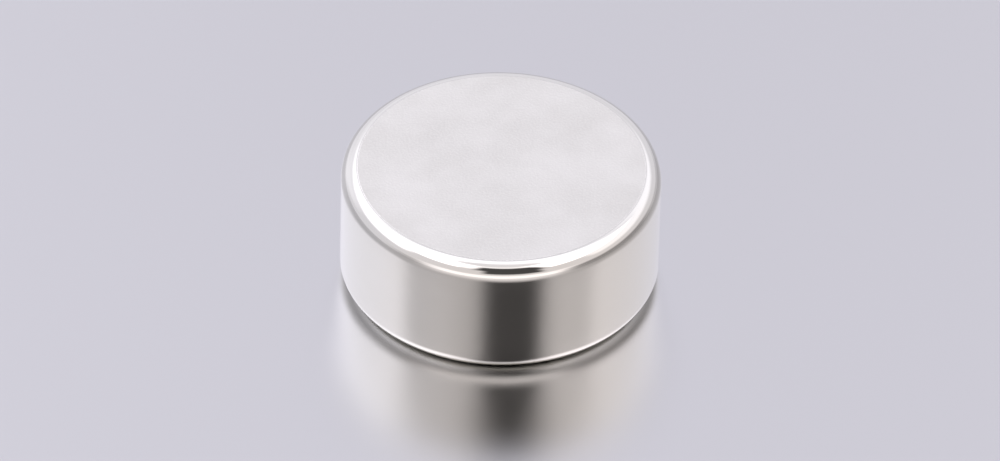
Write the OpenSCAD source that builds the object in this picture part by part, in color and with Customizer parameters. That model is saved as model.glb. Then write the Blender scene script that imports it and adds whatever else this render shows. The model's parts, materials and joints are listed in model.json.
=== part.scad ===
// Disc magnet: a plain round disc of sintered magnet, ground flat on both
// faces, tumbled so that its edges are rounded, and plated all over.
// It lies on one face. The origin is at the centre of that face, and +Z runs
// up through the disc, along its magnetic axis. All sizes are in millimetres.

/* [Disc] */
// Diameter over the plated wall
magnet_d = 1.95; // [1:0.05:12]
// Thickness from face to face
magnet_t = 0.8; // [0.5:0.05:6]

/* [Edges] */
// Radius that tumbling leaves on the edge round each face
edge_r = 0.1; // [0.02:0.01:0.2]

/* [Hidden] */
wall_r = magnet_d / 2;
// Sides of the wall, and of the circle that an edge is a quarter of
wall_sides = 180;
edge_sides = 48;

// What tumbling takes off the lower outer corner of the half section: a
// square as wide as the edge radius, less the quarter circle that stays.
module corner_loss() {
    translate([wall_r - edge_r, 0])
        difference() {
            square(edge_r);
            translate([0, edge_r])
                circle(r = edge_r, $fn = edge_sides);
        }
}

// Half section: a rectangle from the axis out to the wall, rounded at both
// outer corners. The upper corner is the lower one, mirrored.
module half_section() {
    difference() {
        square([wall_r, magnet_t]);
        corner_loss();
        translate([0, magnet_t])
            mirror([0, 1])
                corner_loss();
    }
}

// The whole magnet: the half section turned once round the magnetic axis
module disc_magnet() {
    color([0.89, 0.88, 0.89])
        rotate_extrude($fn = wall_sides)
            half_section();
}

disc_magnet();
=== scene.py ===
# %% [markdown]
# # A tiny disc magnet
# The object is one plain round disc, just under 2 mm across: a block of sintered
# magnet powder, ground flat on both faces, tumbled until its edges are round, and
# then nickel plated. It has no separate pieces, so the lesson is about two things:
# a turned shape with true rounded edges, and one metal that is satin on the faces
# and as bright as a mirror on the wall. A mirror shows its surroundings, so half
# of the look is the small studio that is built round the disc.

# %% Load the measured part
import json
import math

import bpy
import numpy as np
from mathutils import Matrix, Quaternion, Vector


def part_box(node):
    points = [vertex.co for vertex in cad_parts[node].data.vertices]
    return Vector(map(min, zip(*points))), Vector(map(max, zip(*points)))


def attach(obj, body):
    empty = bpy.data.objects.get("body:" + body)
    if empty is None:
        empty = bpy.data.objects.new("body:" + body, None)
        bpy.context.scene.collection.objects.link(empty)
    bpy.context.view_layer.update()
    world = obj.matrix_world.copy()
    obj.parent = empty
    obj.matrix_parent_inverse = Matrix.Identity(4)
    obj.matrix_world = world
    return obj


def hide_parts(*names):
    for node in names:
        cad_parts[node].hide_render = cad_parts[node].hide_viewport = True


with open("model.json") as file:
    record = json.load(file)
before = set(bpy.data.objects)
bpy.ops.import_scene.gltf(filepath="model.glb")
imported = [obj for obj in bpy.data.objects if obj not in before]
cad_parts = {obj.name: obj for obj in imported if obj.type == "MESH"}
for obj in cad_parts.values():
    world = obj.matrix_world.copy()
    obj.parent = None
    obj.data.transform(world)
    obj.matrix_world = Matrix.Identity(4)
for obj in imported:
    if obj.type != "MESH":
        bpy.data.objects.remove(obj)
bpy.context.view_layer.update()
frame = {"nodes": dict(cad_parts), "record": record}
print("nodes:", sorted(frame["nodes"]))

# %% [markdown]
# ## Sizes
# Nothing is measured again here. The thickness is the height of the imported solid,
# and the wall's radius and straight height are stated by the mount called wall.
# What the wall leaves at the top and the bottom is the radius of the edges.

# %% Sizes from the frame, in metres
MM = 0.001
MICRON = 0.001 * MM
magnet_low, magnet_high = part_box("disc_magnet")
wall_mount = next(m for m in frame["record"]["mounts"] if m["name"] == "wall")
wall_r = wall_mount["dims"]["r_mm"] * MM
thickness = magnet_high.z - magnet_low.z
edge_r = (thickness - wall_mount["dims"]["length_mm"] * MM) / 2
flat_r = wall_r - edge_r
print(f"wall radius {wall_r / MM:.3f} mm, thickness {thickness / MM:.3f} mm, edge {edge_r / MM:.3f} mm")

# %% [markdown]
# ## The half section
# Cut the real disc through its axis and one half of the cut is a rectangle with
# two rounded corners. A bevelled cylinder would give that too, but its corners
# would follow the bevel's own settings. Writing the section down keeps the edge
# a true quarter circle, and lets the rings crowd where the surface turns.

# %% Half section
EDGE_STEPS = 32
WALL_STEPS = 6
# Rings on the flat, as shares of its radius, closer together towards the edge
FLAT_SHARES = np.array([0.3, 0.6, 0.85, 0.96, 0.992, 0.999])


def half_section():
    """Radius and height of every ring, from near the middle of the lower face, out and up and back in.

    On a flat the height stays and the radius grows. On an edge both follow a quarter circle:
    radius = flat radius + edge radius * cos(angle), height = edge radius * (1 + sin(angle)), as
    the angle goes from -90 degrees to 0. The upper half is the lower half, mirrored in height.
    """
    angle = np.linspace(-np.pi / 2, 0, EDGE_STEPS + 1)
    edge_radii = flat_r + edge_r * np.cos(angle)
    edge_heights = edge_r * (1 + np.sin(angle))
    wall_heights = np.linspace(edge_r, thickness - edge_r, WALL_STEPS + 1)[1:-1]
    lower_radii = np.concatenate([FLAT_SHARES * flat_r, edge_radii])
    lower_heights = np.concatenate([np.zeros(len(FLAT_SHARES)), edge_heights])
    radii = np.concatenate([lower_radii, np.full(len(wall_heights), wall_r), lower_radii[::-1]])
    heights = np.concatenate([lower_heights, wall_heights, thickness - lower_heights[::-1]])
    return radii, heights


ring_radii, ring_heights = half_section()
print(len(ring_radii), "rings, widest", ring_radii.max() / MM, "mm")

# %% [markdown]
# ## Turning the section
# A lathe turns the section once round the axis. Here every ring is worked out at
# once: the grid's rows are the rings and its columns are the directions round the
# axis. The middle of each face is one shared point, so no hole or seam is left.

# %% Turn it into a closed mesh
TURN_STEPS = 512


def turned_mesh(name, radii, heights):
    """Closed surface of revolution as a mesh.

    A point is (radius * cos(turn), radius * sin(turn), height), with turn from 0 to a full circle.
    Four neighbours on the grid make a face, listed so that it faces outwards, and a fan of
    triangles closes each end on a point of the axis.
    """
    turn = np.linspace(0, 2 * np.pi, TURN_STEPS, endpoint=False)
    rings = np.stack(
        [
            np.outer(radii, np.cos(turn)),
            np.outer(radii, np.sin(turn)),
            np.outer(heights, np.ones(TURN_STEPS)),
        ],
        axis=-1,
    ).reshape(-1, 3)
    poles = np.array([[0, 0, heights[0]], [0, 0, heights[-1]]])
    index = np.arange(len(rings)).reshape(len(radii), TURN_STEPS)
    after = np.roll(index, -1, axis=1)
    quads = np.stack([index[:-1], after[:-1], after[1:], index[1:]], axis=-1).reshape(-1, 4)
    lower_pole = np.full(TURN_STEPS, len(rings))
    lower_fan = np.stack([lower_pole, after[0], index[0]], axis=-1)
    upper_fan = np.stack([lower_pole + 1, index[-1], after[-1]], axis=-1)
    mesh = bpy.data.meshes.new(name)
    mesh.from_pydata(
        np.concatenate([rings, poles]).tolist(),
        [],
        quads.tolist() + lower_fan.tolist() + upper_fan.tolist(),
    )
    mesh.shade_smooth()
    mesh.update()
    return mesh


magnet = bpy.data.objects.new("plated_disc", turned_mesh("plated_disc", ring_radii, ring_heights))
bpy.context.scene.collection.objects.link(magnet)
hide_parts("disc_magnet")
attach(magnet, "root")
print("magnet:", len(magnet.data.vertices), "points,", len(magnet.data.polygons), "faces")

# %% [markdown]
# ## Colours
# Colours are written as sRGB hex values, the way a paint chart gives them. Blender
# reckons in linear light, so each one is turned to it, and one function does that
# for all.

# %% Hex colour to linear light


def linear(hex_colour):
    """Linear RGBA of an sRGB hex colour: c / 12.92 below 0.04045, else ((c + 0.055) / 1.055) ** 2.4."""
    srgb = np.array([int(hex_colour[i : i + 2], 16) for i in (1, 3, 5)]) / 255
    light = np.where(srgb <= 0.04045, srgb / 12.92, ((srgb + 0.055) / 1.055) ** 2.4)
    return (*light.tolist(), 1.0)


print(f"mid grey #808080 is {linear('#808080')[0]:.3f} of white in linear light")

# %% [markdown]
# ## Nodes
# A material could be put together by hand in the node editor, but written down it
# can be read and changed. One small function adds a node of any kind with its
# settings and what feeds its sockets, so a material reads from top to bottom like a
# recipe. Two settings come back often: a smooth rise and a mix of colours.

# %% Adding a node
SMOOTH = {"interpolation_type": "SMOOTHSTEP"}
COLOURS = {"data_type": "RGBA"}


def add_node(tree, kind, settings=None, **sockets):
    """Adds a node, sets its properties and fills its sockets. A socket is linked and a value is set.

    A key is the socket's name with _ for a blank, or in_0, in_1 and so on for its place in the list.
    """
    node = tree.nodes.new(kind)
    for key, value in (settings or {}).items():
        setattr(node, key, value)
    for key, value in sockets.items():
        place = int(key[3:]) if key.startswith("in_") else key.replace("_", " ")
        if isinstance(value, bpy.types.NodeSocket):
            tree.links.new(value, node.inputs[place])
        else:
            node.inputs[place].default_value = value
    return node


def new_material(name):
    """An empty node material and its tree."""
    material = bpy.data.materials.new(name)
    material.use_nodes = True
    material.node_tree.nodes.clear()
    return material, material.node_tree


print("settings that come back:", SMOOTH, COLOURS)

# %% [markdown]
# ## Satin faces, bright edges
# The coat copies what lies under it. The wall and the tumbled edges are smooth, so
# they come out bright, and the two ground faces keep a fine grain, so they come out
# satin. Two materials would meet in a hard line on the facets of the mesh. One
# material that goes by the distance from the axis changes exactly where the flat
# ends, and softly, as the tumbling leaves it.

# %% Share of the face
FINISH_BLEND = 4 * MICRON
# Multiplied with a vector, it takes the height out of it
NO_HEIGHT = (1, 1, 0)


def face_share(tree, place):
    """1 on the flat faces and 0 on the edges and the wall, with a smooth step at the flat radius.

    The distance from the axis is the length of the place once its height is taken out.
    """
    across = add_node(tree, "ShaderNodeVectorMath", {"operation": "MULTIPLY"}, in_0=place, in_1=NO_HEIGHT)
    off_axis = add_node(tree, "ShaderNodeVectorMath", {"operation": "LENGTH"}, in_0=across.outputs[0])
    return add_node(
        tree,
        "ShaderNodeMapRange",
        SMOOTH,
        Value=off_axis.outputs["Value"],
        From_Min=flat_r + FINISH_BLEND,
        From_Max=flat_r - FINISH_BLEND,
    ).outputs["Result"]


print(f"satin inside {flat_r / MM:.3f} mm of the axis, bright outside")

# %% [markdown]
# ## Grain, clouds and orange peel
# The grain of the faces is a few microns in truth, which is too fine to show, so
# it is drawn at 16 microns. Wider clouds, barely paler and duller in turn, stop the
# face from being one flat tone. The wall is bright but not perfect: the coat swells
# and sinks a little, as orange peel does, and that makes the edges of what it
# mirrors waver. All three are noise of different sizes, so they can be tuned apart.

# %% Marks of the coat
GRAIN_SIZE = 16 * MICRON
GRAIN_HEIGHT = 1.0 * MICRON
CLOUD_SIZE = 320 * MICRON
PEEL_WIDTH = 110 * MICRON
PEEL_HEIGHT = 0.45 * MICRON
# Size of the lumps, and how many times finer lumps are laid over them
GRAIN = (GRAIN_SIZE, 2.0)
CLOUD = (CLOUD_SIZE, 3.0)
PEEL = (PEEL_WIDTH, 1.0)


def coat_marks(tree, place, on_face):
    """Grain on the faces, clouds all over, and the way the surface faces with grain and peel on it.

    The grain is multiplied by the share of the face, so it fades out where the edge begins to turn.
    The peel is raised first and the grain on top of it, each by its own height.
    """
    grain, cloud, peel = [
        add_node(
            tree, "ShaderNodeTexNoise", None, Vector=place, Scale=1 / size, Detail=detail
        ).outputs["Fac"]
        for size, detail in (GRAIN, CLOUD, PEEL)
    ]
    face_grain = add_node(
        tree, "ShaderNodeMath", {"operation": "MULTIPLY"}, in_0=grain, in_1=on_face
    ).outputs[0]
    peeled = add_node(
        tree, "ShaderNodeBump", None, Strength=1.0, Distance=PEEL_HEIGHT, Height=peel
    ).outputs["Normal"]
    grained = add_node(
        tree, "ShaderNodeBump", None, Strength=1.0, Distance=GRAIN_HEIGHT, Height=face_grain, Normal=peeled
    ).outputs["Normal"]
    return face_grain, cloud, grained


print(f"{2 * flat_r / GRAIN_SIZE:.0f} grains and {2 * flat_r / CLOUD_SIZE:.0f} clouds across a face")

# %% [markdown]
# ## Nickel plating
# The coat is nickel over copper over nickel, about 15 microns in all, laid on by
# electroplating. Nickel is a slightly warm white metal. It is a plain metal here,
# with a colour and a roughness that the marks change by a little, because a coat
# this thin adds no form of its own.

# %% Nickel plating
NICKEL = "#DDDCD4"
NICKEL_GRAIN = "#C5C3BC"
NICKEL_CLOUD = "#DFDED8"
CLOUD_RANGE = (0.25, 0.75)
SATIN_ROUGHNESS = 0.31
SATIN_SPREAD = 0.015
BRIGHT_ROUGHNESS = 0.05


def nickel_plating():
    """Satin nickel on the faces, bright nickel on the edges and the wall.

    The colour is mixed towards the grain's and then the clouds'. The roughness goes from the bright
    value to the satin one with the share of the face, and the satin one rises with the clouds.
    """
    material, tree = new_material("bright_nickel_plating_over_ground_magnet")
    place = add_node(tree, "ShaderNodeTexCoord").outputs["Object"]
    on_face = face_share(tree, place)
    face_grain, cloud, grained = coat_marks(tree, place, on_face)
    speckled = add_node(
        tree, "ShaderNodeMix", COLOURS, Factor=face_grain, in_6=linear(NICKEL), in_7=linear(NICKEL_GRAIN)
    ).outputs[2]
    colour = add_node(
        tree, "ShaderNodeMix", COLOURS, Factor=cloud, in_6=speckled, in_7=linear(NICKEL_CLOUD)
    ).outputs[2]
    satin = add_node(
        tree,
        "ShaderNodeMapRange",
        SMOOTH,
        Value=cloud,
        From_Min=CLOUD_RANGE[0],
        From_Max=CLOUD_RANGE[1],
        To_Min=SATIN_ROUGHNESS - SATIN_SPREAD,
        To_Max=SATIN_ROUGHNESS + SATIN_SPREAD,
    ).outputs["Result"]
    roughness = add_node(
        tree, "ShaderNodeMix", {"data_type": "FLOAT"}, in_0=on_face, in_2=BRIGHT_ROUGHNESS, in_3=satin
    ).outputs[0]
    shader = add_node(
        tree,
        "ShaderNodeBsdfPrincipled",
        None,
        Base_Color=colour,
        Metallic=1.0,
        Roughness=roughness,
        Normal=grained,
    )
    add_node(tree, "ShaderNodeOutputMaterial", None, Surface=shader.outputs["BSDF"])
    return material


magnet.data.materials.append(nickel_plating())
print("material:", magnet.data.materials[0].name)

# %% [markdown]
# ## The floor
# Small bright parts are often shown on a sheet of satin metal, which is pale and
# plain and still gives a soft mirror image. That image matters here: the wall of
# the disc looks down at the floor in front of it, and the floor passes on what
# stands above. The sheet is one plain colour, and from a low angle it pales by
# itself, because a metal mirrors more the flatter it is looked at: that is what
# the edge tint is for.
#
# A finely ground sheet blurs what it mirrors but throws no wide haze. The usual
# lobe, GGX, has long tails, and they would light up the dark streak on the disc's
# wall and the dark line where it stands. Beckmann's lobe ends sooner, so both stay
# dark. The disc stands on the tips of the sheet's grain, a few microns up, and the
# thin gap that this leaves makes the line at its foot darker still.

# %% Satin floor
FLOOR = "#CDCDCD"
FLOOR_EDGE = "#F4F4F4"
FLOOR_ROUGHNESS = 0.28
FLOOR_HALF = 500 * MM
FLOOR_DROP = 4 * MICRON


def floor_material():
    """Satin sheet of one colour, a blurred mirror that pales towards low angles."""
    material, tree = new_material("pale_satin_sheet")
    shader = add_node(
        tree,
        "ShaderNodeBsdfMetallic",
        {"distribution": "BECKMANN", "fresnel_type": "F82"},
        Base_Color=linear(FLOOR),
        Edge_Tint=linear(FLOOR_EDGE),
        Roughness=FLOOR_ROUGHNESS,
    )
    add_node(tree, "ShaderNodeOutputMaterial", None, Surface=shader.outputs["BSDF"])
    return material


corners = np.array([[-1, -1, 0], [1, -1, 0], [1, 1, 0], [-1, 1, 0]]) * FLOOR_HALF
floor_mesh = bpy.data.meshes.new("floor")
floor_mesh.from_pydata((corners - [0, 0, FLOOR_DROP]).tolist(), [], [[0, 1, 2, 3]])
floor_mesh.materials.append(floor_material())
floor = bpy.data.objects.new("floor", floor_mesh)
bpy.context.scene.collection.objects.link(floor)
print("floor:", 2 * FLOOR_HALF / MM, "mm wide,", FLOOR_DROP / MICRON, "microns under the disc")

# %% [markdown]
# ## The cloth of the light tent
# A mirror is lit by what it sees. The usual answer for small plated parts is a
# tent of white cloth, and what stands in the tent draws the shine. It could be
# built of panels and lamps, but round so small a thing they would give noise and
# fireflies, so it is the world's light: for every direction a brightness, worked
# out from the turn round the disc and the height above the floor. The cloth is
# dull at the foot, plain at the sides, bright in a band above them and plainer
# again in the roof.

# %% Cloth
TENT_FOOT = 0.65
TENT_SIDE = 0.9
TENT_TOP = 1.6
TENT_ROOF = 1.0
# Elevations between which the cloth changes, in degrees
FOOT_RANGE = (7.0, 13.0)
TOP_RANGE = (48.0, 58.0)
ROOF_RANGE = (72.0, 82.0)
CLOTH_STEPS = [
    (FOOT_RANGE, TENT_SIDE - TENT_FOOT),
    (TOP_RANGE, TENT_TOP - TENT_SIDE),
    (ROOF_RANGE, TENT_ROOF - TENT_TOP),
]


def cloth_light(tree, rise):
    """Brightness of the bare cloth: the foot's, plus a smooth step at each height where it changes."""
    strength = TENT_FOOT
    for limits, gain in CLOTH_STEPS:
        start, full = [math.radians(angle) for angle in limits]
        step = add_node(
            tree, "ShaderNodeMapRange", SMOOTH, Value=rise, From_Min=start, From_Max=full, To_Max=gain
        )
        strength = add_node(
            tree, "ShaderNodeMath", {"operation": "ADD"}, in_0=strength, in_1=step.outputs["Result"]
        ).outputs[0]
    return strength


print("cloth, from foot to roof:", TENT_FOOT, TENT_SIDE, TENT_TOP, TENT_ROOF)

# %% [markdown]
# ## What stands in the tent
# On the cloth lie soft-edged panels, each of its own brightness:
# - a long box on each side, at the camera's own height, which the floor passes on
#   to the outer parts of the wall
# - a lamp above each box, which draws the white line round the rim and the thin
#   one at the foot of the wall
# - a low white strip in front, which draws the line under the dark dash, and a
#   grey card at the right, which draws the dark line between rim and wall there
# - a paler wing, a foot panel and a strip at the back, for the views from the sides
# - the lens opening, dark, which draws the dark streak down the wall, and above it
#   the camera's body, a little wider, which draws the short dash in the rim

# %% Panels
# A row gives the name, turn, elevation, half width, half height, soft side, soft top and light.
# The turn starts at the front and grows to the right. All angles are in degrees.
IN_TENT = [
    ("left_box", -121, 41, 50, 8, 6, 6, 1.75),
    ("left_wing", -149, 15, 29, 16, 14, 8, 1.15),
    ("left_foot", -100, 0, 24, 12, 14, 5, 0.9),
    ("right_box", 121, 40, 50, 9, 6, 6, 1.38),
    ("back_strip", 180, 6, 24, 16, 16, 8, 0.95),
    ("left_lamp", -96, 62, 62, 12, 5, 5, 2.5),
    ("right_lamp", 90, 62, 56, 12, 5, 5, 2.5),
    ("front_strip", 0, 5, 46, 12, 14, 5, 1.5),
    ("right_card", 80, 3, 30, 8, 14, 5, 0.35),
    ("lens_opening", 10, 42, 21, 14, 4, 5, 0.08),
    ("camera_body", 9.5, 59, 30, 12, 6, 5, 0.08),
]


def direction(turn, elevation):
    """Unit vector (sin turn * cos elevation, -cos turn * cos elevation, sin elevation)."""
    level = math.cos(elevation)
    return Vector((math.sin(turn) * level, -math.cos(turn) * level, math.sin(elevation)))


print("in the tent:", ", ".join(row[0] for row in IN_TENT))

# %% [markdown]
# ## How far inside a panel
# A panel needs no mesh. The angle between a direction and the panel's middle says
# how far inside it the direction is, and a smooth step at the border makes it as
# soft as the edge of a real softbox. Turn and elevation are taken apart, so that a
# panel can be a long low band, as softboxes are.

# %% Share of a panel


def panel_share(tree, flat, rise, turn, elevation, half_width, half_height, soft_side, soft_top):
    """How far a direction is inside a panel of the tent, from 0 to 1.

    Across, the cosine of the angle between the direction laid flat and the panel's turn is taken
    smoothly from 0 to 1, between the half width plus the soft side and the half width less it.
    Upwards, so is the distance of its elevation from the panel's. The two shares are multiplied.
    """
    ahead = add_node(
        tree, "ShaderNodeVectorMath", {"operation": "DOT_PRODUCT"}, in_0=flat, in_1=direction(turn, 0)
    ).outputs["Value"]
    across = add_node(
        tree,
        "ShaderNodeMapRange",
        SMOOTH,
        Value=ahead,
        From_Min=math.cos(half_width + soft_side),
        From_Max=math.cos(half_width - soft_side),
    ).outputs["Result"]
    above = add_node(tree, "ShaderNodeMath", {"operation": "SUBTRACT"}, in_0=rise, in_1=elevation)
    off_middle = add_node(tree, "ShaderNodeMath", {"operation": "ABSOLUTE"}, in_0=above.outputs[0])
    upwards = add_node(
        tree,
        "ShaderNodeMapRange",
        SMOOTH,
        Value=off_middle.outputs[0],
        From_Min=half_height + soft_top,
        From_Max=half_height - soft_top,
    ).outputs["Result"]
    return add_node(tree, "ShaderNodeMath", {"operation": "MULTIPLY"}, in_0=across, in_1=upwards).outputs[0]


print("a panel fades over", 2 * min(row[5] for row in IN_TENT), "degrees or more")

# %% [markdown]
# ## Tint of the cloth
# The cloth is a little cool behind the disc and a little warm in front, as it is
# with daylight on one side and a lamp on the other. One smooth change across the
# tent does that without a border anywhere.

# %% Tint
TENT_COOL = "#F5F3FF"
TENT_WARM = "#F8F0F3"
WARM_TURN = math.radians(25.0)
WARM_REACH = 0.8


def tent_tint(tree, toward):
    """Colour that goes from cool to warm with the cosine of the angle to the warm side."""
    toward_warm = add_node(
        tree,
        "ShaderNodeVectorMath",
        {"operation": "DOT_PRODUCT"},
        in_0=toward,
        in_1=direction(WARM_TURN, 0),
    ).outputs["Value"]
    warmth = add_node(
        tree, "ShaderNodeMapRange", SMOOTH, Value=toward_warm, From_Min=-WARM_REACH, From_Max=WARM_REACH
    ).outputs["Result"]
    return add_node(
        tree, "ShaderNodeMix", COLOURS, Factor=warmth, in_6=linear(TENT_COOL), in_7=linear(TENT_WARM)
    ).outputs[2]


print("warmest towards", [round(part, 2) for part in direction(WARM_TURN, 0)])

# %% [markdown]
# ## The tent as the world's light
# The tent could be an image wrapped round the scene, but an image has its own
# grain and can't be changed by a number. Worked out by nodes it is sharp at any
# size, and each panel is one row of the list above.

# %% Light tent
TENT_LEVEL = 1.09


def light_tent():
    """World whose brightness and tint depend on the direction looked at.

    The brightness starts as the cloth's. Each panel then replaces it by its own light, by the
    panel's share of the direction, and the level of the whole tent multiplies the result.
    """
    world = bpy.data.worlds.new("light_tent")
    world.use_nodes = True
    tree = world.node_tree
    tree.nodes.clear()
    toward = add_node(tree, "ShaderNodeTexCoord").outputs["Object"]
    height = add_node(tree, "ShaderNodeSeparateXYZ", None, Vector=toward).outputs["Z"]
    rise = add_node(tree, "ShaderNodeMath", {"operation": "ARCSINE"}, in_0=height).outputs[0]
    level = add_node(tree, "ShaderNodeVectorMath", {"operation": "MULTIPLY"}, in_0=toward, in_1=NO_HEIGHT)
    flat = add_node(
        tree, "ShaderNodeVectorMath", {"operation": "NORMALIZE"}, in_0=level.outputs[0]
    ).outputs[0]
    strength = cloth_light(tree, rise)
    for name, *angles, light in IN_TENT:
        share = panel_share(tree, flat, rise, *[math.radians(angle) for angle in angles])
        settings = {"data_type": "FLOAT", "label": name}
        strength = add_node(
            tree, "ShaderNodeMix", settings, in_0=share, in_2=strength, in_3=light
        ).outputs[0]
    strength = add_node(
        tree, "ShaderNodeMath", {"operation": "MULTIPLY"}, in_0=strength, in_1=TENT_LEVEL
    ).outputs[0]
    tent = add_node(tree, "ShaderNodeBackground", None, Color=tent_tint(tree, toward), Strength=strength)
    add_node(tree, "ShaderNodeOutputWorld", None, Surface=tent.outputs[0])
    return world


bpy.context.scene.world = light_tent()
print("world:", len(bpy.context.scene.world.node_tree.nodes), "nodes")

# %% [markdown]
# ## The camera
# A long lens from 40 degrees above the floor, far enough away that the disc's
# rims stay almost parallel. The camera leans a little, so the disc's axis leans
# the other way. The distance is worked out from the lens and the share of the
# picture's width that the disc takes up.

# %% Camera
CAMERA_LENS = 500.0
CAMERA_SENSOR = 36.0
CAMERA_ELEVATION = math.radians(40.0)
CAMERA_ROLL = math.radians(1.4)
DISC_SHARE = 0.32
AIM_DROP = 0.1 * MM
CLIP_START_SHARE = 0.1
CLIP_END = 1.0

camera_distance = CAMERA_LENS * 2 * wall_r / (CAMERA_SENSOR * DISC_SHARE)
camera = bpy.data.objects.new("camera", bpy.data.cameras.new("camera"))
camera.data.lens = CAMERA_LENS
camera.data.sensor_width = CAMERA_SENSOR
camera.data.clip_start = camera_distance * CLIP_START_SHARE
camera.data.clip_end = CLIP_END
toward_camera = direction(0.0, CAMERA_ELEVATION)
aim = Vector((0, 0, thickness / 2 - AIM_DROP))
camera.location = aim + toward_camera * camera_distance
camera.rotation_mode = "QUATERNION"
camera.rotation_quaternion = (-toward_camera).to_track_quat("-Z", "Y") @ Quaternion((0, 0, 1), CAMERA_ROLL)
bpy.context.scene.collection.objects.link(camera)
bpy.context.scene.camera = camera
bpy.context.scene.view_settings.view_transform = "Standard"
print(f"camera {camera_distance / MM:.1f} mm away")
